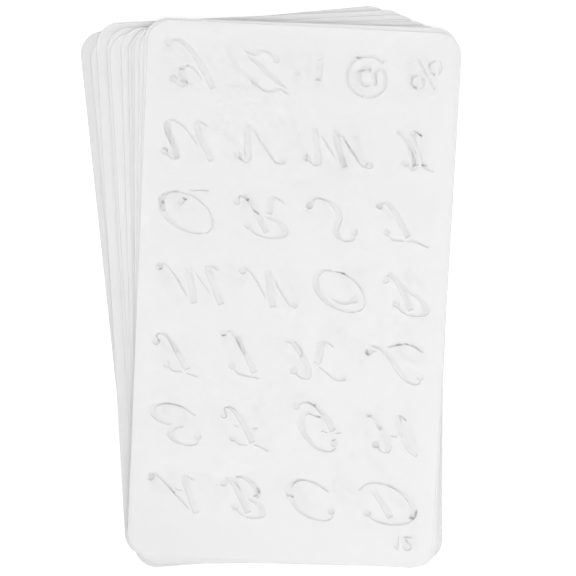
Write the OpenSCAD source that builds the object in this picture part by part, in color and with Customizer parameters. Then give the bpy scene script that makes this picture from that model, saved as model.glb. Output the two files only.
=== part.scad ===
// A pile of loose plastic lettering stencils, fanned out by hand and lying face down.
// Each sheet is cut right through with the letters of one alphabet. The strokes of a letter
// stop short of each other, and the bridges of plastic between them hold in the middles that
// would fall out. Units are millimetres, +Z is up, and the origin is on the table, under the
// middle of the pile.

/* [Sheet] */
// Width of a sheet
sheet_w = 101.6; // [94:0.1:130]
// Length of a sheet
sheet_l = 177.8; // [172:0.1:220]
// Thickness of the plastic
sheet_t = 0.4; // [0.25:0.05:0.8]
// Radius of a sheet's corners
corner_r = 7.5; // [3:0.5:12]

/* [Pile] */
// Film of air that the burrs of the cut-outs keep between two sheets
air_gap = 0.1; // [0.1:0.05:0.5]
// How far the pile is fanned out: 0 is a squared-up pile, 1 is the pile as it was put down
fan = 1; // [0:0.1:1.5]

/* [Letters] */
// Height of the capitals
cap_h = 12.8; // [10:0.2:15]
// From the sheet's top edge to the tops of the first row of letters
top_margin = 15; // [13:0.5:18]
// From the feet of the last row to the sheet's bottom edge
bottom_margin = 8.9; // [8:0.1:12]
// From the outermost letters to the sides of the sheet
side_margin = 5.8; // [4:0.2:8]
// Width of the bridges between the strokes of a letter
bridge = 1; // [0.6:0.1:1.4]

/* [Pens] */
// Heavy strokes of the script
script_heavy = 2.2; // [1.2:0.1:2.4]
// Hairlines of the script
script_hair = 0.6; // [0.4:0.1:1]
// Slant of the script, in degrees
script_slant = 22; // [0:1:26]
// Strokes of the block letters
block_stroke = 1.6; // [1:0.1:2]
// Strokes of the narrow letters
narrow_stroke = 1.2; // [0.8:0.1:1.6]
// Strokes of the bold letters
bold_stroke = 2; // [1.4:0.1:2.2]

/* [Sheet number] */
// Height of the number in the corner of a sheet
label_h = 4.6; // [3.6:0.2:5]
// Width of the number's strokes
label_stroke = 0.6; // [0.4:0.1:0.8]
// Width of the bridges in the number
label_bridge = 0.6; // [0.4:0.1:0.8]
// From the sheet's top edge to the top of the number
label_drop = 6; // [4:0.2:7]
// From the number to the side of the sheet
label_inset = 5.4; // [5:0.2:14]

/* [Hidden] */

// Where the hand left each sheet, from the lowest up: its turn in degrees, then how far its
// middle lies to the right and to the back
FAN = [
    [5.4, -10, 2],
    [4.5, -8, -0.5],
    [2.7, -8.5, 2.5],
    [2.8, -5, 1],
    [2.8, -4, -0.5],
    [1.2, -2.5, 0],
    [0.6, -1, -1.5],
    [0.1, -0.5, -0.5],
    [-0.5, -0.5, -1],
    [-1.3, 0, -1.5],
    [-2.1, 0.5, 0.5],
    [-2.8, 0.5, -0.5]
];

// Letters are drawn on a grid on which a capital is 100 high, with its foot at 0
grid = 100;
// Longest side of a curve on the top sheet, and on the sheets under it
fine = 0.9;
coarse = 2.4;
// Sides of a full turn of a ball and of a sheet's corner
ball_sides = 16;
corner_sides = 48;
// Radius of a ball over the width of a heavy stroke
ball_share = 0.55;

// A pen is the width of its heavy strokes and of its hairlines in millimetres, its slant in
// degrees, how wide it makes the letters, and the longest side of its curves
SCRIPT_PEN = [script_heavy, script_hair, script_slant, 1, fine];
SMALL_SCRIPT_PEN = [0.8 * script_heavy, script_hair, script_slant, 1, 1.4 * fine];
UPRIGHT_SCRIPT_PEN = [0.7 * script_heavy, script_hair, 4, 1, coarse];
BLOCK_PEN = [block_stroke, block_stroke, 0, 1, coarse];
SLANTED_PEN = [block_stroke, block_stroke, 12, 1, coarse];
NARROW_PEN = [narrow_stroke, narrow_stroke, 0, 0.75, coarse];
BOLD_PEN = [bold_stroke, bold_stroke, 0, 1.1, coarse];
NUMBER_PEN = [label_stroke, label_stroke, 0, 1, 1];

// Rows of letters on a sheet, from the top row down
CAPITAL_ROWS = ["ABCD", "EFGH", "IJKL", "MNOP", "QRST", "UVWX", "YZ!@%"];
BLOCK_CAPITAL_ROWS = ["ABCD", "EFGH", "IJKLM", "NOPQ", "RSTU", "VWX", "YZ!?+"];
SMALL_ROWS = ["abcdef", "ghijkl", "mnopq", "rstuv", "wxyz!", "12345", "67890"];

// A stroke is its points in the order in which a pen makes them, which of its ends have a
// ball, and whether it stops short of the strokes listed before it. A letter lists its main
// strokes first, because the later ones give way. After its strokes a letter may give how
// wide it is next to the others. A sign goes on with the share of the heavy stroke at which
// an even, upright pen draws it.
function plain(points) = [points, false, false, true];
function ball_first(points) = [points, true, false, true];
function ball_last(points) = [points, false, true, true];
function both_balls(points) = [points, true, true, true];
function dot(x, y) = [[[x, y]], true, false, true];
function joined(points) = [points, false, false, false];

SCRIPT_CAPITALS = [
    ["A", [
        plain([[78, 98], [78, 56], [78, 20], [87, 0], [104, 10]]),
        ball_first([[-18, 8], [-6, 0], [14, 16], [40, 56], [70, 100]]),
        plain([[34, 34], [54, 38], [72, 36]])], 0.9],
    ["B", [
        ball_last([[38, 90], [32, 50], [24, 14], [8, -1], [-8, 14]]),
        ball_first([[2, 76], [12, 94], [44, 104], [76, 98], [88, 80], [76, 62], [48, 54]]),
        plain([[60, 54], [84, 46], [92, 26], [76, 4], [48, -4], [22, 6]])], 0.8],
    ["C", [
        ball_first([
            [78, 76], [74, 94], [52, 102], [24, 88], [8, 54], [12, 18], [36, -2], [64, 2], [86, 24]])], 1.35],
    ["D", [
        plain([[44, 86], [38, 50], [30, 14]]),
        ball_first([
            [0, 76], [12, 96], [46, 104], [80, 92], [98, 60], [88, 20], [58, -1], [24, -3], [0, 16]])], 1.3],
    ["E", [
        ball_first([[76, 78], [70, 96], [50, 103], [30, 94], [24, 76], [36, 60], [54, 54]]),
        plain([[46, 53], [20, 46], [5, 26], [14, 4], [40, -4], [68, 4], [86, 24]])], 1.35],
    ["F", [
        ball_last([[56, 88], [50, 50], [42, 18], [26, -1], [8, 0], [-2, 18]]),
        ball_first([[0, 78], [12, 94], [36, 94], [66, 95], [96, 108]]),
        plain([[18, 44], [50, 52], [88, 50]])], 0.85],
    ["G", [
        ball_first([
            [80, 78], [76, 94], [54, 102], [26, 90], [9, 56], [14, 22], [36, 4], [66, 14]]),
        ball_last([[88, 48], [82, 12], [66, -16], [40, -25], [14, -14]]),
        plain([[56, 48], [82, 52], [108, 50]])]],
    ["H", [
        ball_first([[-4, 78], [6, 95], [22, 94], [30, 74], [28, 36], [18, 8], [2, 2]]),
        plain([[100, 102], [86, 88], [80, 48], [80, 14], [90, -1], [104, 10]]),
        plain([[28, 46], [54, 54], [80, 50]])], 0.95],
    ["I", [
        ball_last([[58, 88], [50, 54], [42, 18], [26, -1], [8, 0], [-2, 18]]),
        ball_first([[4, 76], [16, 93], [40, 94], [80, 106]])], 0.9],
    ["J", [
        ball_last([[50, 88], [47, 50], [38, 6], [24, -18], [2, -12]]),
        ball_first([[-8, 72], [2, 92], [24, 97], [58, 101]])], 0.9],
    ["K", [
        ball_first([[-6, 78], [4, 95], [20, 94], [28, 70], [24, 30], [14, 6], [-2, 2]]),
        plain([[52, 56], [66, 34], [76, 10], [88, -2], [104, 10]]),
        ball_last([[50, 58], [64, 75], [84, 98], [100, 90]])], 1.15],
    ["L", [
        ball_first([[78, 78], [70, 97], [54, 94], [44, 70], [36, 34], [26, 12], [10, 2]]),
        ball_first([[0, 20], [20, 12], [50, 0], [78, -4], [98, 14]])], 1.45],
    ["M", [
        plain([[40, 98], [48, 56], [58, 6]]),
        plain([[106, 98], [104, 60], [104, 20], [112, -1], [128, 10]]),
        ball_first([[-14, 8], [-2, 0], [14, 24], [34, 100]]),
        plain([[64, 2], [80, 46], [102, 100]])], 1.05],
    ["N", [
        plain([[42, 98], [54, 50], [68, 4]]),
        ball_first([[-14, 8], [-2, 0], [16, 26], [36, 100]]),
        ball_last([[74, 2], [82, 46], [98, 92], [114, 90]])], 0.8],
    ["O", [
        plain([[66, 102], [40, 98], [16, 76], [6, 46], [14, 14], [32, -1], [50, -3]]),
        plain([[46, -3], [74, 6], [94, 36], [94, 70], [82, 94], [62, 102]]),
        ball_last([[28, 70], [50, 82], [74, 70]])], 1.3],
    ["P", [
        ball_last([[40, 90], [34, 50], [26, 14], [8, -1], [-8, 14]]),
        ball_first([[-2, 74], [10, 95], [44, 104], [80, 98], [92, 78], [78, 54], [46, 46]])], 0.8],
    ["Q", [
        plain([[66, 102], [40, 98], [16, 76], [6, 46], [14, 14], [32, -1], [50, -3]]),
        plain([[46, -3], [74, 6], [94, 36], [94, 70], [82, 94], [62, 102]]),
        plain([[42, 28], [60, 10], [78, -8], [108, -10]])], 1.35],
    ["R", [
        ball_last([[40, 90], [34, 50], [26, 14], [8, -1], [-8, 14]]),
        ball_first([[-2, 74], [10, 95], [44, 104], [78, 98], [90, 80], [78, 60], [48, 52]]),
        plain([[58, 52], [70, 30], [80, 6], [94, -2], [110, 12]])]],
    ["S", [
        both_balls([
            [84, 78], [78, 96], [58, 103], [40, 92], [40, 74],
            [56, 50], [62, 26], [48, 4], [20, -3], [-4, 16]])], 1.05],
    ["T", [
        ball_last([[58, 86], [50, 50], [42, 18], [26, -1], [4, 8]]),
        ball_first([[-4, 74], [8, 94], [36, 95], [72, 96], [110, 110]])], 0.85],
    ["U", [
        plain([[98, 98], [92, 50], [92, 14], [102, -1], [118, 10]]),
        ball_first([
            [-10, 78], [0, 95], [14, 94], [20, 72], [16, 36], [22, 8], [42, 0], [66, 26], [92, 100]])], 1.05],
    ["V", [
        ball_first([[-8, 78], [2, 95], [16, 92], [24, 70], [36, 34], [48, 2]]),
        ball_last([[54, 0], [70, 46], [90, 94], [108, 90]])], 0.95],
    ["W", [
        ball_first([[-12, 78], [-2, 95], [12, 92], [18, 70], [26, 34], [34, 2]]),
        plain([[76, 98], [78, 50], [88, 2]]),
        plain([[40, 0], [52, 48], [72, 100]]),
        ball_last([[94, 0], [106, 46], [124, 94], [142, 90]])]],
    ["X", [
        ball_first([[-4, 80], [8, 97], [24, 84], [29, 50], [20, 14], [0, 2]]),
        plain([[72, 98], [54, 90], [40, 54], [44, 14], [56, -1], [74, 10]])], 0.85],
    ["Y", [
        ball_last([[88, 98], [80, 50], [66, 4], [44, -20], [16, -14]]),
        ball_first([[-6, 78], [4, 95], [18, 92], [22, 66], [32, 46], [54, 50], [84, 100]])]],
    ["Z", [
        ball_first([[0, 76], [10, 94], [38, 99], [66, 92], [94, 102]]),
        ball_last([[2, 0], [30, 8], [62, -4], [94, 16]]),
        plain([[92, 98], [50, 50], [4, 2]])], 0.8],
    ["!", [
        plain([[14, 66], [14, 24]]),
        dot(14, 6)], 1, 0.9],
    ["@", [
        plain([[92, 12], [70, -1], [34, 0], [8, 22], [3, 52], [16, 84], [46, 100]]),
        plain([[46, 100], [78, 96], [98, 74], [98, 44], [86, 28], [74, 36], [74, 70]]),
        plain([[70, 62], [50, 72], [34, 58], [34, 38], [50, 28], [66, 38]])], 1, 0.5],
    ["%", [
        plain([[60, 73], [14, 0]]),
        plain([[16, 73], [4, 68], [0, 56], [4, 44], [16, 38]]),
        plain([[16, 38], [28, 44], [32, 56], [28, 68], [16, 73]]),
        plain([[58, 36], [46, 30], [42, 18], [46, 6], [58, 0]]),
        plain([[58, 0], [70, 6], [74, 18], [70, 30], [58, 36]])], 1, 0.4]
];

SCRIPT_SMALL = [
    ["a", [
        plain([[54, 52], [50, 18], [58, 0], [74, 10]]),
        plain([[52, 42], [36, 52], [14, 42], [6, 20], [18, -2], [48, 18]])]],
    ["b", [
        plain([[32, 100], [24, 50], [16, 4]]),
        plain([[20, 34], [38, 52], [56, 46], [58, 22], [42, -1], [16, 4]])]],
    ["c", [
        ball_first([[50, 38], [42, 50], [24, 50], [8, 32], [8, 10], [26, -2], [56, 14]])]],
    ["d", [
        plain([[68, 100], [60, 50], [54, 16], [62, 0], [78, 10]]),
        plain([[52, 42], [36, 52], [14, 42], [6, 20], [18, -2], [48, 18]])]],
    ["e", [
        plain([[42, 52], [22, 48], [7, 28], [10, 6], [30, -2], [58, 14]]),
        plain([[8, 20], [36, 26], [52, 40], [42, 52]])]],
    ["f", [
        ball_first([[70, 84], [58, 99], [44, 86], [34, 36], [22, -16], [8, -38]]),
        plain([[6, 46], [34, 52], [60, 50]])]],
    ["g", [
        ball_last([[56, 52], [48, 4], [36, -26], [16, -36], [-2, -24]]),
        plain([[52, 42], [36, 52], [14, 42], [6, 20], [18, -2], [48, 18]])]],
    ["h", [
        plain([[32, 100], [24, 50], [14, 0]]),
        plain([[18, 24], [36, 50], [52, 46], [50, 18], [58, 0], [74, 10]])]],
    ["i", [
        plain([[20, 52], [16, 18], [24, 0], [40, 10]]),
        dot(32, 76)]],
    ["j", [
        ball_last([[26, 52], [20, 6], [8, -24], [-10, -34], [-26, -22]]),
        dot(38, 76)]],
    ["k", [
        plain([[32, 100], [24, 50], [14, 0]]),
        ball_last([[20, 20], [40, 46], [58, 44]]),
        plain([[34, 30], [46, 4], [68, 10]])]],
    ["l", [
        plain([[32, 100], [22, 50], [16, 16], [26, -1], [42, 10]])]],
    ["m", [
        plain([[16, 52], [8, 0]]),
        plain([[12, 24], [28, 50], [42, 44], [36, 0]]),
        plain([[40, 24], [56, 50], [70, 44], [68, 16], [76, 0], [92, 10]])]],
    ["n", [
        plain([[16, 52], [8, 0]]),
        plain([[12, 24], [30, 50], [46, 44], [44, 16], [52, 0], [68, 10]])]],
    ["o", [
        plain([[38, 52], [20, 48], [6, 28], [10, 6], [28, -2]]),
        plain([[28, -2], [48, 6], [58, 28], [54, 46], [38, 52]])]],
    ["p", [
        plain([[22, 52], [12, 0], [4, -38]]),
        plain([[18, 32], [38, 52], [56, 46], [58, 22], [42, -1], [12, 6]])]],
    ["q", [
        plain([[58, 52], [48, 0], [40, -38]]),
        plain([[52, 42], [36, 52], [14, 42], [6, 20], [18, -2], [48, 18]])]],
    ["r", [
        plain([[16, 52], [8, 0]]),
        ball_last([[12, 24], [28, 49], [46, 42]])]],
    ["s", [
        both_balls([[46, 38], [36, 51], [22, 46], [24, 30], [36, 14], [26, -2], [2, 8]])]],
    ["t", [
        plain([[32, 84], [20, 30], [22, 6], [34, -1], [50, 10]]),
        plain([[4, 52], [52, 52]])]],
    ["u", [
        plain([[54, 52], [50, 18], [58, 0], [74, 10]]),
        plain([[14, 52], [9, 20], [18, 0], [34, 8], [52, 46]])]],
    ["v", [
        plain([[10, 50], [18, 26], [26, 0]]),
        ball_last([[30, 0], [44, 26], [58, 48]])]],
    ["w", [
        plain([[8, 52], [10, 20], [20, 0]]),
        plain([[48, 52], [46, 20], [56, 0]]),
        plain([[26, 0], [36, 18], [44, 48]]),
        ball_last([[60, 0], [72, 20], [82, 46]])]],
    ["x", [
        plain([[4, 42], [18, 50], [34, 24], [48, 0], [64, 10]]),
        plain([[-2, 8], [14, 0], [34, 26], [58, 52]])]],
    ["y", [
        ball_last([[58, 52], [48, 2], [34, -28], [14, -36], [-2, -24]]),
        plain([[14, 52], [10, 20], [20, 2], [36, 10], [54, 46]])]],
    ["z", [
        plain([[8, 46], [28, 52], [54, 48]]),
        plain([[4, 0], [30, 4], [60, -2]]),
        plain([[54, 50], [4, 0]])]]
];

DIGITS = [
    ["0", [
        plain([[34, 98], [12, 88], [2, 64], [2, 36], [12, 12], [34, 2]]),
        plain([[34, 2], [54, 12], [64, 36], [64, 64], [54, 88], [34, 98]])]],
    ["1", [
        plain([[30, 100], [30, 0]]),
        joined([[4, 76], [30, 96]])]],
    ["2", [
        plain([[0, 4], [62, 4]]),
        plain([[4, 76], [14, 94], [38, 98], [56, 82], [50, 58], [26, 32], [4, 10]])]],
    ["3", [
        plain([[4, 86], [24, 98], [48, 92], [52, 72], [40, 57], [22, 54]]),
        plain([[38, 50], [56, 40], [58, 20], [42, 3], [20, 2], [0, 14]])]],
    ["4", [
        plain([[48, 100], [48, 0]]),
        plain([[0, 28], [70, 28]]),
        plain([[46, 100], [2, 28]])]],
    ["5", [
        plain([[12, 98], [8, 50]]),
        plain([[10, 95], [56, 95]]),
        plain([[8, 56], [30, 64], [52, 54], [58, 30], [46, 8], [22, 1], [0, 12]])]],
    ["6", [
        plain([[52, 96], [26, 86], [6, 58], [2, 28], [14, 6], [34, 1]]),
        plain([[34, 1], [56, 12], [60, 36], [44, 56], [22, 54], [4, 40]])]],
    ["7", [
        plain([[0, 95], [62, 95]]),
        plain([[60, 92], [36, 48], [22, 0]])]],
    ["8", [
        plain([[27, 98], [10, 92], [5, 74], [19, 53], [3, 34], [4, 12], [26, 2]]),
        plain([[36, 98], [53, 92], [58, 74], [44, 53], [60, 34], [59, 12], [37, 2]])]],
    ["9", [
        plain([[10, 4], [36, 14], [56, 42], [60, 72], [48, 94], [30, 99]]),
        plain([[30, 99], [8, 90], [2, 66], [18, 46], [40, 46], [58, 60]])]]
];

BLOCK_CAPITALS = [
    ["A", [
        plain([[0, 0], [35, 100]]),
        plain([[74, 0], [40, 98]]),
        plain([[18, 32], [56, 32]])]],
    ["B", [
        plain([[0, 100], [0, 0]]),
        plain([[2, 95], [28, 95], [50, 86], [52, 68], [36, 54], [20, 53]]),
        plain([[44, 50], [60, 38], [58, 14], [32, 5], [2, 5]])]],
    ["C", [
        plain([[66, 80], [48, 97], [22, 94], [4, 68], [4, 32], [22, 6], [48, 3], [66, 20]])]],
    ["D", [
        plain([[0, 100], [0, 0]]),
        plain([[2, 95], [28, 95], [54, 82], [64, 50], [54, 18], [28, 5], [2, 5]])]],
    ["E", [
        plain([[0, 100], [0, 0]]),
        plain([[0, 95], [54, 95]]),
        plain([[0, 52], [44, 52]]),
        plain([[0, 5], [56, 5]])]],
    ["F", [
        plain([[0, 100], [0, 0]]),
        plain([[0, 95], [54, 95]]),
        plain([[0, 52], [46, 52]])]],
    ["G", [
        plain([[66, 80], [48, 97], [22, 94], [4, 68], [4, 32], [22, 6], [48, 3], [66, 18], [68, 46]]),
        plain([[36, 41], [68, 41]])]],
    ["H", [
        plain([[0, 100], [0, 0]]),
        plain([[62, 100], [62, 0]]),
        plain([[0, 52], [62, 52]])]],
    ["I", [
        plain([[0, 100], [0, 0]])]],
    ["J", [
        plain([[44, 100], [44, 30], [34, 6], [16, 2], [0, 18]])]],
    ["K", [
        plain([[0, 100], [0, 0]]),
        plain([[6, 42], [58, 100]]),
        plain([[22, 64], [62, 0]])]],
    ["L", [
        plain([[0, 100], [0, 0]]),
        plain([[0, 5], [50, 5]])]],
    ["M", [
        plain([[0, 0], [4, 100]]),
        plain([[86, 0], [82, 100]]),
        plain([[6, 98], [42, 14]]),
        plain([[80, 98], [46, 18]])]],
    ["N", [
        plain([[0, 100], [0, 0]]),
        plain([[64, 100], [64, 0]]),
        plain([[2, 98], [62, 2]])]],
    ["O", [
        plain([[40, 98], [16, 90], [2, 66], [2, 34], [16, 10], [40, 2]]),
        plain([[40, 2], [64, 10], [78, 34], [78, 66], [64, 90], [40, 98]])]],
    ["P", [
        plain([[0, 100], [0, 0]]),
        plain([[2, 95], [28, 95], [52, 86], [54, 62], [34, 48], [2, 48]])]],
    ["Q", [
        plain([[40, 98], [16, 90], [2, 66], [2, 34], [16, 10], [40, 2]]),
        plain([[40, 2], [64, 10], [78, 34], [78, 66], [64, 90], [40, 98]]),
        plain([[44, 34], [80, -8]])]],
    ["R", [
        plain([[0, 100], [0, 0]]),
        plain([[2, 95], [28, 95], [52, 86], [54, 64], [34, 50], [2, 50]]),
        plain([[26, 48], [60, 0]])]],
    ["S", [
        plain([
            [58, 82], [42, 97], [18, 95], [6, 78], [14, 60],
            [44, 44], [58, 26], [46, 6], [20, 2], [0, 16]])]],
    ["T", [
        plain([[34, 100], [34, 0]]),
        plain([[0, 95], [68, 95]])]],
    ["U", [
        plain([[0, 100], [0, 32], [12, 8], [34, 2], [56, 8], [68, 32], [68, 100]])]],
    ["V", [
        plain([[0, 100], [34, 0]]),
        plain([[74, 100], [40, 0]])]],
    ["W", [
        plain([[0, 100], [24, 0]]),
        plain([[52, 98], [76, 0]]),
        plain([[28, 0], [48, 98]]),
        plain([[80, 0], [102, 100]])]],
    ["X", [
        plain([[0, 100], [66, 0]]),
        plain([[66, 100], [0, 0]])]],
    ["Y", [
        plain([[34, 48], [34, 0]]),
        plain([[0, 100], [32, 52]]),
        plain([[68, 100], [38, 54]])]],
    ["Z", [
        plain([[0, 95], [64, 95]]),
        plain([[0, 5], [66, 5]]),
        plain([[60, 95], [4, 5]])]],
    ["?", [
        plain([[0, 78], [12, 95], [36, 96], [50, 80], [42, 60], [26, 46], [26, 30]]),
        plain([[26, 12], [26, 0]])]],
    ["+", [
        plain([[32, 82], [32, 18]]),
        plain([[0, 50], [64, 50]])]]
];

BLOCK_SMALL = [
    ["a", [
        plain([[46, 64], [46, 0]]),
        plain([[46, 52], [26, 64], [6, 54], [2, 32], [8, 10], [26, 0], [46, 12]])]],
    ["b", [
        plain([[0, 100], [0, 0]]),
        plain([[0, 52], [20, 64], [40, 54], [44, 32], [38, 10], [20, 0], [0, 12]])]],
    ["c", [
        plain([[44, 50], [28, 63], [10, 56], [2, 32], [10, 8], [28, 1], [44, 14]])]],
    ["d", [
        plain([[46, 100], [46, 0]]),
        plain([[46, 52], [26, 64], [6, 54], [2, 32], [8, 10], [26, 0], [46, 12]])]],
    ["e", [
        plain([[46, 26], [44, 50], [26, 63], [8, 56], [2, 32], [8, 8], [28, 0], [44, 8]]),
        plain([[2, 32], [46, 32]])]],
    ["f", [
        plain([[36, 94], [22, 98], [12, 84], [12, 40], [12, 0]]),
        plain([[-6, 60], [32, 60]])]],
    ["g", [
        plain([[46, 64], [46, -8], [34, -28], [16, -32], [0, -22]]),
        plain([[46, 52], [26, 64], [6, 54], [2, 32], [8, 10], [26, 0], [46, 12]])]],
    ["h", [
        plain([[0, 100], [0, 0]]),
        plain([[0, 46], [16, 63], [36, 60], [44, 40], [44, 0]])]],
    ["i", [
        plain([[0, 64], [0, 0]]),
        plain([[0, 94], [0, 82]])]],
    ["j", [
        plain([[14, 64], [14, -12], [6, -28], [-10, -32]]),
        plain([[14, 94], [14, 82]])]],
    ["k", [
        plain([[0, 100], [0, 0]]),
        plain([[4, 24], [42, 64]]),
        plain([[18, 44], [46, 0]])]],
    ["l", [
        plain([[0, 100], [0, 0]])]],
    ["m", [
        plain([[0, 64], [0, 0]]),
        plain([[0, 46], [16, 62], [32, 58], [38, 40], [38, 0]]),
        plain([[38, 46], [54, 62], [70, 58], [76, 40], [76, 0]])]],
    ["n", [
        plain([[0, 64], [0, 0]]),
        plain([[0, 46], [16, 63], [36, 60], [44, 40], [44, 0]])]],
    ["o", [
        plain([[26, 63], [8, 54], [2, 32], [8, 10], [26, 1]]),
        plain([[26, 1], [44, 10], [50, 32], [44, 54], [26, 63]])]],
    ["p", [
        plain([[0, 64], [0, -34]]),
        plain([[0, 52], [20, 64], [40, 54], [44, 32], [38, 10], [20, 0], [0, 12]])]],
    ["q", [
        plain([[46, 64], [46, -34]]),
        plain([[46, 52], [26, 64], [6, 54], [2, 32], [8, 10], [26, 0], [46, 12]])]],
    ["r", [
        plain([[0, 64], [0, 0]]),
        plain([[0, 42], [12, 58], [32, 62]])]],
    ["s", [
        plain([[42, 54], [28, 64], [8, 60], [4, 46], [20, 34], [40, 22], [40, 6], [22, -1], [0, 8]])]],
    ["t", [
        plain([[14, 92], [14, 40], [16, 10], [26, 1], [38, 4]]),
        plain([[-4, 62], [36, 62]])]],
    ["u", [
        plain([[46, 64], [46, 0]]),
        plain([[0, 64], [0, 24], [8, 4], [28, 1], [46, 18]])]],
    ["v", [
        plain([[0, 64], [22, 0]]),
        plain([[50, 64], [28, 0]])]],
    ["w", [
        plain([[0, 64], [16, 0]]),
        plain([[42, 64], [58, 0]]),
        plain([[22, 0], [38, 62]]),
        plain([[64, 0], [80, 64]])]],
    ["x", [
        plain([[0, 64], [46, 0]]),
        plain([[46, 64], [0, 0]])]],
    ["y", [
        plain([[48, 64], [14, -34]]),
        plain([[0, 64], [26, 4]])]],
    ["z", [
        plain([[0, 60], [44, 60]]),
        plain([[0, 4], [46, 4]]),
        plain([[40, 60], [4, 4]])]],
    ["!", [
        plain([[6, 100], [6, 30]]),
        plain([[6, 12], [6, 0]])]]
];

SCRIPT = concat(SCRIPT_CAPITALS, SCRIPT_SMALL, DIGITS);
BLOCK = concat(BLOCK_CAPITALS, BLOCK_SMALL, DIGITS);

function unit(v) = v / norm(v);
function sum(v, n) = n <= 0 ? 0 : v[n - 1] + sum(v, n - 1);
function letter_of(alphabet, name) = [for (g = alphabet) if (g[0] == name) g][0];

// The pen as it is used for one letter or sign
function pen_for(g, pen) =
    let (wide = pen[3] * (len(g) > 2 ? g[2] : 1))
    len(g) > 3
        ? [pen[0] * g[3], pen[0] * g[3], 0, wide, pen[4]]
        : [pen[0], pen[1], pen[2], wide, pen[4]];

// One point on the curve between b and c, with a and d as the points before and after them
function curve_point(a, b, c, d, t) =
    b + 0.5 * t * (c - a + t * (2 * a - 5 * b + 4 * c - d + t * (3 * b - a - 3 * c + d)));

// A smooth curve through the points, with sides no longer than about side
function curve(p, side) =
    len(p) < 3 ? p : [
        for (i = [0:len(p) - 2])
            let (
                before = i == 0 ? 2 * p[0] - p[1] : p[i - 1],
                after = i == len(p) - 2 ? 2 * p[i + 1] - p[i] : p[i + 2],
                n = max(2, round(norm(p[i + 1] - p[i]) / side)))
            for (j = [0:n - 1])
                curve_point(before, p[i], p[i + 1], after, j / n),
        p[len(p) - 1]];

// A point of the grid in millimetres, slanted and stretched as the pen asks
function inked(q, pen, size) = [q.x * pen[3] + q.y * tan(pen[2]), q.y] * size / grid;

// Which way the pen goes at point i of a line, and the width it leaves there: it presses on
// the way down and only touches on the way up
function heading(line, i) = unit(line[min(i + 1, len(line) - 1)] - line[max(i - 1, 0)]);
function pen_width(way, pen) = pen[1] + (pen[0] - pen[1]) * pow(max(0, -way.y), 1.5);

// The outline of a stroke, grown by a margin on every side
module stroke(points, pen, size, grow) {
    line = curve([for (q = points) inked(q, pen, size)], pen[4]);
    last = len(line) - 1;
    ways = [for (i = [0:last]) heading(line, i)];
    halves = [for (i = [0:last]) pen_width(ways[i], pen) / 2 + grow];
    core = [for (i = [0:last]) line[i] + (i == 0 ? -grow : i == last ? grow : 0) * ways[i]];
    left = [for (i = [0:last]) core[i] + halves[i] * [-ways[i].y, ways[i].x]];
    right = [for (i = [last:-1:0]) core[i] - halves[i] * [-ways[i].y, ways[i].x]];
    polygon(concat(left, right));
}

module ball(q, pen, size, grow) {
    translate(inked(q, pen, size))
        circle(r = ball_share * pen[0] + grow, $fn = ball_sides);
}

// A stroke with its balls
module ink(s, pen, size, grow = 0) {
    points = s[0];
    if (len(points) > 1)
        stroke(points, pen, size, grow);
    if (s[1])
        ball(points[0], pen, size, grow);
    if (s[2])
        ball(points[len(points) - 1], pen, size, grow);
}

// A letter: each stroke stops short of the strokes before it, which leaves the bridges
module letter(g, pen, size, gap) {
    strokes = g[1];
    own = pen_for(g, pen);
    for (k = [0:len(strokes) - 1])
        difference() {
            ink(strokes[k], own, size);
            if (strokes[k][3])
                for (j = [0:1:k - 1])
                    ink(strokes[j], own, size, gap);
        }
}

// The lowest and highest x that a letter reaches
function reach(g, pen, size) =
    let (own = pen_for(g, pen), xs = [for (s = g[1], q = s[0]) inked(q, own, size).x])
    [min(xs) - own[0] / 2, max(xs) + own[0] / 2];

// A row of letters over the width between the margins, with equal gaps between them
module row(alphabet, names, pen) {
    glyphs = [for (c = names) letter_of(alphabet, c)];
    reaches = [for (g = glyphs) reach(g, pen, cap_h)];
    widths = [for (r = reaches) r[1] - r[0]];
    room = sheet_w - 2 * side_margin;
    between = (room - sum(widths, len(widths))) / (len(names) - 1);
    for (i = [0:len(names) - 1])
        translate([sum(widths, i) + i * between - room / 2 - reaches[i][0], 0])
            letter(glyphs[i], pen, cap_h, bridge);
}

module rows_of_letters(alphabet, rows, pen) {
    first_foot = sheet_l / 2 - top_margin - cap_h;
    pitch = (first_foot + sheet_l / 2 - bottom_margin) / (len(rows) - 1);
    for (i = [0:len(rows) - 1])
        translate([0, first_foot - i * pitch])
            row(alphabet, rows[i], pen);
}

// The sheet's number, which ends at the inset from its right side
module sheet_number(names) {
    glyphs = [for (c = names) letter_of(DIGITS, c)];
    reaches = [for (g = glyphs) reach(g, NUMBER_PEN, label_h)];
    widths = [for (r = reaches) r[1] - r[0] + label_bridge + label_stroke];
    start = sheet_w / 2 - label_inset - sum(widths, len(widths));
    for (i = [0:len(names) - 1])
        translate([start + sum(widths, i) - reaches[i][0], sheet_l / 2 - label_drop - label_h])
            letter(glyphs[i], NUMBER_PEN, label_h, label_bridge);
}

// The middles of a sheet's corner arcs lie this far from its own middle
corner_x = sheet_w / 2 - corner_r;
corner_y = sheet_l / 2 - corner_r;

module blank() {
    square([sheet_w, 2 * corner_y], center = true);
    square([2 * corner_x, sheet_l], center = true);
    for (x = [-corner_x, corner_x], y = [-corner_y, corner_y])
        translate([x, y])
            circle(r = corner_r, $fn = corner_sides);
}

// Half the room that a sheet takes along x and along y once it is turned
function half_x(turn) = corner_x * abs(cos(turn)) + corner_y * abs(sin(turn)) + corner_r;
function half_y(turn) = corner_x * abs(sin(turn)) + corner_y * abs(cos(turn)) + corner_r;

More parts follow.
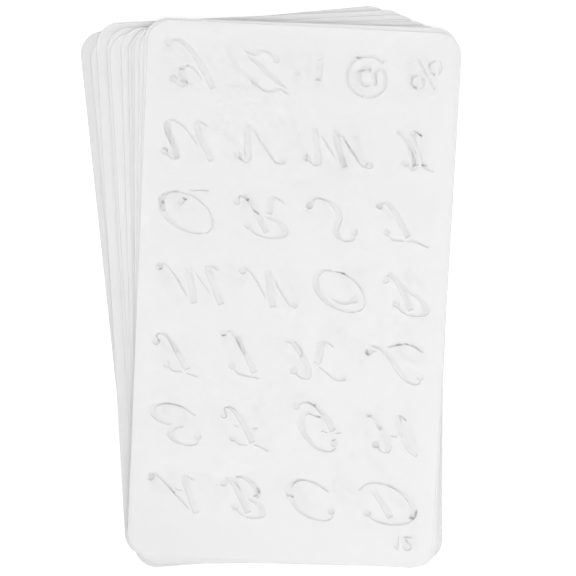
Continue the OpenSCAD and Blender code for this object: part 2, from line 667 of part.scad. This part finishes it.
// The middle of the whole pile, which goes over the origin
function middle(lows, highs) = (min(lows) + max(highs)) / 2;
pile_x = middle(
    [for (f = FAN) fan * f[1] - half_x(fan * f[0])],
    [for (f = FAN) fan * f[1] + half_x(fan * f[0])]);
pile_y = middle(
    [for (f = FAN) fan * f[2] - half_y(fan * f[0])],
    [for (f = FAN) fan * f[2] + half_y(fan * f[0])]);

// One sheet of the pile, face down: its letters are drawn as they read and then turned over
module sheet(number, alphabet, rows, pen) {
    place = FAN[number - 1];
    level = (number - 1) * (sheet_t + air_gap);
    color([0.93, 0.94, 0.94])
        translate([fan * place[1] - pile_x, fan * place[2] - pile_y, level + sheet_t])
            rotate([0, 0, fan * place[0]])
                rotate([180, 0, 0])
                    linear_extrude(sheet_t)
                        difference() {
                            blank();
                            rows_of_letters(alphabet, rows, pen);
                            sheet_number(str(number));
                        }
}

sheet(1, BLOCK, SMALL_ROWS, NARROW_PEN);  // sheet_01_narrow_small_letters
sheet(2, BLOCK, BLOCK_CAPITAL_ROWS, NARROW_PEN);  // sheet_02_narrow_capitals
sheet(3, BLOCK, SMALL_ROWS, BOLD_PEN);  // sheet_03_bold_small_letters
sheet(4, BLOCK, BLOCK_CAPITAL_ROWS, BOLD_PEN);  // sheet_04_bold_capitals
sheet(5, BLOCK, SMALL_ROWS, SLANTED_PEN);  // sheet_05_slanted_small_letters
sheet(6, BLOCK, BLOCK_CAPITAL_ROWS, SLANTED_PEN);  // sheet_06_slanted_capitals
sheet(7, BLOCK, SMALL_ROWS, BLOCK_PEN);  // sheet_07_block_small_letters
sheet(8, BLOCK, BLOCK_CAPITAL_ROWS, BLOCK_PEN);  // sheet_08_block_capitals
sheet(9, SCRIPT, SMALL_ROWS, UPRIGHT_SCRIPT_PEN);  // sheet_09_upright_script_small_letters
sheet(10, SCRIPT, CAPITAL_ROWS, UPRIGHT_SCRIPT_PEN);  // sheet_10_upright_script_capitals
sheet(11, SCRIPT, SMALL_ROWS, SMALL_SCRIPT_PEN);  // sheet_11_script_small_letters
sheet(12, SCRIPT, CAPITAL_ROWS, SCRIPT_PEN);  // sheet_12_script_capitals
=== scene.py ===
# %% [markdown]
# # A fanned pile of lettering stencils
#
# The object is a pile of loose plastic sheets that somebody put down face down and pushed a
# little askew. Each sheet is cut right through with one alphabet. The CAD part already has
# every cut-out in its true place, so this script never draws a letter. It eases the outline of
# each sheet, makes the milky plastic, sets up a table, a light tent and a camera, and stops.
#
# Lengths are in metres, +Z is up, and the pile rests on the table at z = 0.

# %% Load the frame
import math

import bpy
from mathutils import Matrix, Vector
from mathutils.geometry import convex_hull_2d


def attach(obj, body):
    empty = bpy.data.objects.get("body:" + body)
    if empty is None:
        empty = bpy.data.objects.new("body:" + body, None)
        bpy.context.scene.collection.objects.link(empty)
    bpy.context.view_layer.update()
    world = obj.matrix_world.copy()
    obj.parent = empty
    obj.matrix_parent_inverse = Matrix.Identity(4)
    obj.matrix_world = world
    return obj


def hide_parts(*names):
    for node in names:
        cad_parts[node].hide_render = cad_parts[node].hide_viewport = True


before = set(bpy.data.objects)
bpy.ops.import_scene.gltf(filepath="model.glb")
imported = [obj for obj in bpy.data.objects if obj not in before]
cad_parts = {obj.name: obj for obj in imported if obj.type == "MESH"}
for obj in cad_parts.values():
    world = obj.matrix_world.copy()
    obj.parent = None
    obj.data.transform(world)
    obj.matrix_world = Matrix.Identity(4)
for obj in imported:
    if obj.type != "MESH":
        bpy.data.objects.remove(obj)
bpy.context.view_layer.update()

MM = 0.001

# %% [markdown]
# ## The eased outline
#
# A stencil sheet is die-cut from rolled plastic, and its outline is then eased, so that it is
# kind to the hand. From above the eased edge is a thin line, a little darker than the face, and
# it is what lets the eye tell one sheet of the pile from the next. Part of that line is the rounding
# turning away from the light, and part is painted shade: the plastic gives every surface that
# slopes away from level the darker grey of its walls.
#
# The CAD meshes are loose triangles, and an edge can only be bevelled where its two faces share
# it. So each sheet is copied and the copy's doubled points are merged. A Bevel modifier then
# rounds the edges that carry a bevel weight. Only the outline gets one: a sheet's outline is the
# convex hull of its points, while the letters are inside it and stay as crisp as they were cut.

# %% Find the outline of a sheet
LEVEL_WITHIN = 0.01 * MM


def outline_pairs(mesh):
    """The neighbouring points of a sheet's outline, each written as two rounded x and y pairs."""
    flat = [point.co.xy for point in mesh.vertices]
    ring = [tuple(round(v / MM, 3) for v in flat[i]) for i in convex_hull_2d(flat)]
    return {frozenset(pair) for pair in zip(ring, ring[1:] + ring[:1])}


def weigh_outline(mesh):
    """Gives the edges along the outline a bevel weight of 1, and returns how many there are."""
    pairs = outline_pairs(mesh)
    weight = mesh.attributes.new("bevel_weight_edge", "FLOAT", "EDGE")
    count = 0
    for edge in mesh.edges:
        ends = [mesh.vertices[i].co for i in edge.vertices]
        level = abs(ends[0].z - ends[1].z) < LEVEL_WITHIN
        pair = frozenset(tuple(round(v / MM, 3) for v in end.xy) for end in ends)
        if level and pair in pairs:
            weight.data[edge.index].value = 1.0
            count += 1
    return count


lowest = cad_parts["sheet_01_narrow_small_letters"].data
outline_places = {place for pair in outline_pairs(lowest) for place in pair}
print("lowest sheet:", len(lowest.vertices), "points,", len(outline_places), "places on its outline")

# %% Ease the outline of each sheet
EASE = 0.1 * MM
EASE_STEPS = 2
MERGE_WITHIN = 0.0005 * MM
SMOOTH_BELOW = math.radians(20)
BODY_NAME = len("sheet_01")


def eased_copy(sheet, name):
    """A copy of a CAD sheet with a rounded outline, with its own mesh at the same place."""
    piece = sheet.copy()
    piece.data = sheet.data.copy()
    piece.name = name
    piece.data.name = name
    bpy.context.scene.collection.objects.link(piece)
    bpy.ops.object.select_all(action="DESELECT")
    piece.select_set(True)
    bpy.context.view_layer.objects.active = piece
    bpy.ops.object.mode_set(mode="EDIT")
    bpy.ops.mesh.select_all(action="SELECT")
    bpy.ops.mesh.remove_doubles(threshold=MERGE_WITHIN)
    bpy.ops.object.mode_set(mode="OBJECT")
    eased = weigh_outline(piece.data)
    bevel = piece.modifiers.new("eased outline", "BEVEL")
    bevel.width = EASE
    bevel.segments = EASE_STEPS
    bevel.limit_method = "WEIGHT"
    bevel.use_clamp_overlap = False
    bpy.ops.object.modifier_apply(modifier=bevel.name)
    bpy.ops.object.shade_smooth_by_angle(angle=SMOOTH_BELOW)
    print(name, "has", eased, "eased edges and", len(piece.data.polygons), "faces")
    return piece


pieces = {}
for node_name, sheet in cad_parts.items():
    piece = eased_copy(sheet, node_name.replace("sheet", "stencil"))
    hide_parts(node_name)
    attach(piece, node_name[:BODY_NAME])
    pieces[node_name] = piece
print(len(pieces), "sheets, each riding on its own body")

# %% [markdown]
# ## Colours
#
# Colours are written as the hex values that a picture shows, and a shader wants linear light,
# so one function turns them over.

# %% Colours from hex
WHITE = (1.0, 1.0, 1.0, 1.0)


def linear(hex_colour):
    """An sRGB hex colour as the linear RGBA that a shader takes."""
    values = [int(hex_colour[i:i + 2], 16) / 255 for i in (1, 3, 5)]
    return [v / 12.92 if v <= 0.04045 else ((v + 0.055) / 1.055) ** 2.4 for v in values] + [1.0]


def add(tree, kind, settings=None, inputs=None):
    """Adds a node, sets its properties, and sets or links its inputs."""
    made = tree.nodes.new(kind)
    for key, value in (settings or {}).items():
        setattr(made, key, value)
    for key, value in (inputs or {}).items():
        if isinstance(value, bpy.types.NodeSocket):
            tree.links.new(value, made.inputs[key])
        else:
            made.inputs[key].default_value = value
    return made


print("a mid grey, #808080, is", round(linear("#808080")[0], 3), "in linear light")


# %% [markdown]
# ## Milky polypropylene
#
# The sheets are natural polypropylene, calendered between polished rollers: a tough, slightly
# waxy plastic that is neither clear nor white.
#
# - Most of the light that goes in scatters on the crystals inside and comes out again near by,
#   which makes a pile of sheets white. That is subsurface scattering: the light walks about
#   inside the sheet and leaves by the face that it happens to reach.
# - The rest goes straight on, so a sheet veils what lies close under it and doesn't hide it: the
#   letters of lower sheets show faintly through the top one. Half of the light passes each face,
#   which makes a quarter through both. That is the shader's Alpha, the solid share.
# - The rollers leave the face not quite even. Noise with spots of about a millimetre varies the
#   shine, and raises the face by a few micrometres.
# - The walls of the cut-outs and the sides of each sheet are painted a darker grey than the face.
#   That is painted shade, standing for walls that look sideways and get less light than the face.
#   The two are told apart by where they look: a face looks straight up or down, and a cut wall
#   looks sideways.

# %% Make the plastic
PLASTIC_IOR = 1.49
SCATTER = 0.4 * MM
SOLID_SHARE = 0.5
FACE_COLOUR = "#FEFEFE"
# painted shade: the darker grey given to walls that look sideways, in place of the face colour
WALL_SHADE_COLOUR = "#E8EAEA"
SPOT = 0.9 * MM
SPOT_DETAIL = 3.0
SPOT_LOW, SPOT_HIGH = 0.3, 0.7
SHINIEST, DULLEST = 0.34, 0.44
RELIEF = 0.004 * MM
RELIEF_SHARE = 0.2
# painted wall shade starts where the surface turns this far from level, and is full at the second
# value
FACE_FROM, WALL_SHADE_FROM = 0.98, 0.88


def rolled_surface(tree, place):
    """The roughness and the normal of a face that came out of polished rollers."""
    spots = add(tree, "ShaderNodeTexNoise", inputs={
        "Vector": place.outputs["Object"], "Scale": 1 / SPOT, "Detail": SPOT_DETAIL})
    roughness = add(tree, "ShaderNodeMapRange", inputs={
        "Value": spots.outputs["Fac"], "From Min": SPOT_LOW, "From Max": SPOT_HIGH,
        "To Min": SHINIEST, "To Max": DULLEST})
    bump = add(tree, "ShaderNodeBump", inputs={
        "Height": spots.outputs["Fac"], "Distance": RELIEF, "Strength": RELIEF_SHARE})
    return roughness.outputs["Result"], bump.outputs["Normal"]


def face_or_shaded_wall(tree, place):
    """The plastic's colour where the surface looks up or down, and a darker painted shade where it
    looks sideways.
    """
    looks = add(tree, "ShaderNodeSeparateXYZ", inputs={"Vector": place.outputs["Normal"]})
    level = add(tree, "ShaderNodeMath", {"operation": "ABSOLUTE"}, {"Value": looks.outputs["Z"]})
    # painted shade mask: 0 on a level face, 1 on a wall that looks sideways
    wall_shade = add(tree, "ShaderNodeMapRange", inputs={
        "Value": level.outputs["Value"], "From Min": FACE_FROM, "From Max": WALL_SHADE_FROM})
    colour = add(tree, "ShaderNodeMixRGB", inputs={
        "Fac": wall_shade.outputs["Result"], "Color1": linear(FACE_COLOUR), "Color2": linear(WALL_SHADE_COLOUR)})
    return colour.outputs["Color"]


def milky_polypropylene():
    """Natural polypropylene sheet: scatters light inside, with a soft waxy shine."""
    material = bpy.data.materials.new("milky_polypropylene")
    material.use_nodes = True
    tree = material.node_tree
    tree.nodes.clear()
    place = add(tree, "ShaderNodeTexCoord")
    roughness, normal = rolled_surface(tree, place)
    surface = add(tree, "ShaderNodeBsdfPrincipled", {"subsurface_method": "RANDOM_WALK"}, {
        "Base Color": face_or_shaded_wall(tree, place), "Roughness": roughness, "Normal": normal,
        "IOR": PLASTIC_IOR, "Alpha": SOLID_SHARE,
        "Subsurface Weight": 1.0, "Subsurface Radius": (1.0, 1.0, 1.0), "Subsurface Scale": SCATTER})
    add(tree, "ShaderNodeOutputMaterial", inputs={"Surface": surface.outputs["BSDF"]})
    return material


plastic = milky_polypropylene()
for piece in pieces.values():
    piece.data.materials.clear()
    piece.data.materials.append(plastic)
print("plastic on", len(pieces), "sheets")

# %% [markdown]
# ## The table
#
# The pile lies on seamless background paper. For light on its way the paper is a plain light grey.
# Seen directly it is white, as in a product picture, so light is added where the camera, a
# reflection or a clear path looks at it. The same amount is added all over, so the pile's shadow
# stays. Seen through a sheet it gets a smaller part of that light, which is why a sheet that lies
# alone at the edge of the fan looks a little darker than the pile.

# %% Make the table
TABLE_COLOUR = "#B0B1B1"
TABLE_ROUGHNESS = 0.9
TABLE_SIZE = 6
TABLE_DROP = 0.1 * MM
TABLE_LIFT = 0.68
VEILED_SHARE = 0.4


def seen_directly(tree):
    """1 where the camera, a mirror image or a clear path looks, less through a sheet, else 0."""
    path = add(tree, "ShaderNodeLightPath")
    mirror = add(tree, "ShaderNodeMath", {"operation": "MAXIMUM"}, {
        0: path.outputs["Is Glossy Ray"], 1: path.outputs["Is Transmission Ray"]})
    either = add(tree, "ShaderNodeMath", {"operation": "MAXIMUM"}, {
        0: path.outputs["Is Camera Ray"], 1: mirror.outputs[0]})
    veil = add(tree, "ShaderNodeMapRange", inputs={
        "Value": path.outputs["Transparent Depth"], "To Min": 1.0, "To Max": VEILED_SHARE})
    shown = add(tree, "ShaderNodeMath", {"operation": "MULTIPLY"}, {
        0: either.outputs[0], 1: veil.outputs["Result"]})
    return shown.outputs[0]


def table_paper():
    """Matt white background paper."""
    material = bpy.data.materials.new("white_background_paper")
    material.use_nodes = True
    tree = material.node_tree
    tree.nodes.clear()
    lift = add(tree, "ShaderNodeMath", {"operation": "MULTIPLY"}, {
        0: seen_directly(tree), 1: TABLE_LIFT})
    surface = add(tree, "ShaderNodeBsdfPrincipled", inputs={
        "Base Color": linear(TABLE_COLOUR), "Roughness": TABLE_ROUGHNESS, "Specular IOR Level": 0.0,
        "Emission Color": WHITE, "Emission Strength": lift.outputs[0]})
    add(tree, "ShaderNodeOutputMaterial", inputs={"Surface": surface.outputs["BSDF"]})
    return material


bpy.ops.mesh.primitive_plane_add(size=TABLE_SIZE, location=(0, 0, -TABLE_DROP))
table = bpy.context.object
table.name = "table_top"
table.data.materials.append(table_paper())
print("table under the pile at", round(table.location.z / MM, 2), "mm")

# %% [markdown]
# ## Light
#
# A light tent gives flat light from everywhere, and one big softbox hangs over the pile, off to
# the lower right of the picture. The photograph shows where it hangs: the pile's right and lower
# edges are clean and bright, while the steps of the fan at the left and at the top look away from
# it and are drawn as thin dark lines. Tent and softbox together light the table with about 1, so
# a colour renders about as it is written.

# %% Set up the light tent
ROOM = 0.765
LAMP = 20.5
LAMP_PLACE = (0.4, -0.5, 2.45)
LAMP_SIZE = 1.2


def light_tent():
    """A pale room that is white where it is looked at."""
    world = bpy.data.worlds.new("light_tent")
    world.use_nodes = True
    tree = world.node_tree
    tree.nodes.clear()
    seen = seen_directly(tree)
    strength = add(tree, "ShaderNodeMapRange", inputs={"Value": seen, "To Min": ROOM, "To Max": 1.0})
    room = add(tree, "ShaderNodeBackground", inputs={
        "Color": WHITE, "Strength": strength.outputs["Result"]})
    add(tree, "ShaderNodeOutputWorld", inputs={"Surface": room.outputs["Background"]})
    return world


bpy.context.scene.world = light_tent()
bpy.ops.object.light_add(type="AREA", location=LAMP_PLACE)
lamp = bpy.context.object
lamp.name = "softbox"
lamp.data.shape = "SQUARE"
lamp.data.size = LAMP_SIZE
lamp.data.energy = LAMP
lamp.rotation_euler = Vector(LAMP_PLACE).to_track_quat("Z", "Y").to_euler()
print("softbox", LAMP_SIZE, "m wide,", LAMP, "W, turned towards the pile")

# %% [markdown]
# ## Camera
#
# The picture is taken from 0.8 m, almost straight down, leaning 8 degrees towards the sheets'
# far edge, through a long lens. The lean is why the far ends look a little wider.

# %% Place the camera
LEAN = math.radians(8.34)
DISTANCE = 0.8
AIM_X, AIM_Y = 5.7 * MM, 1.0 * MM
SENSOR_MM = 36
LENS_MM = 151.35

bpy.ops.object.camera_add(
    location=(AIM_X, AIM_Y + DISTANCE * math.sin(LEAN), DISTANCE * math.cos(LEAN)),
    rotation=(-LEAN, 0, 0))
camera = bpy.context.object
camera.name = "camera"
camera.data.sensor_width = SENSOR_MM
camera.data.lens = LENS_MM
bpy.context.scene.camera = camera
bpy.context.scene.view_settings.view_transform = "Standard"
print("camera at", [round(v, 3) for v in camera.location])

# %% [markdown]
# ## How often light may bounce
#
# In a pile of milky sheets a ray goes to and fro between the sheets many times before it gets
# out again, and twelve sheets have twenty-four faces to pass. A renderer stops after a set number
# of bounces and counts what is left as black, which would turn the pile grey, so the numbers are
# raised.

# %% Let light bounce between the sheets
BOUNCES = 32

paths = bpy.context.scene.cycles
paths.max_bounces = BOUNCES
paths.diffuse_bounces = BOUNCES
paths.transparent_max_bounces = BOUNCES
print("a ray may bounce", BOUNCES, "times")

# %% Update the scene and finish
bpy.context.view_layer.update()
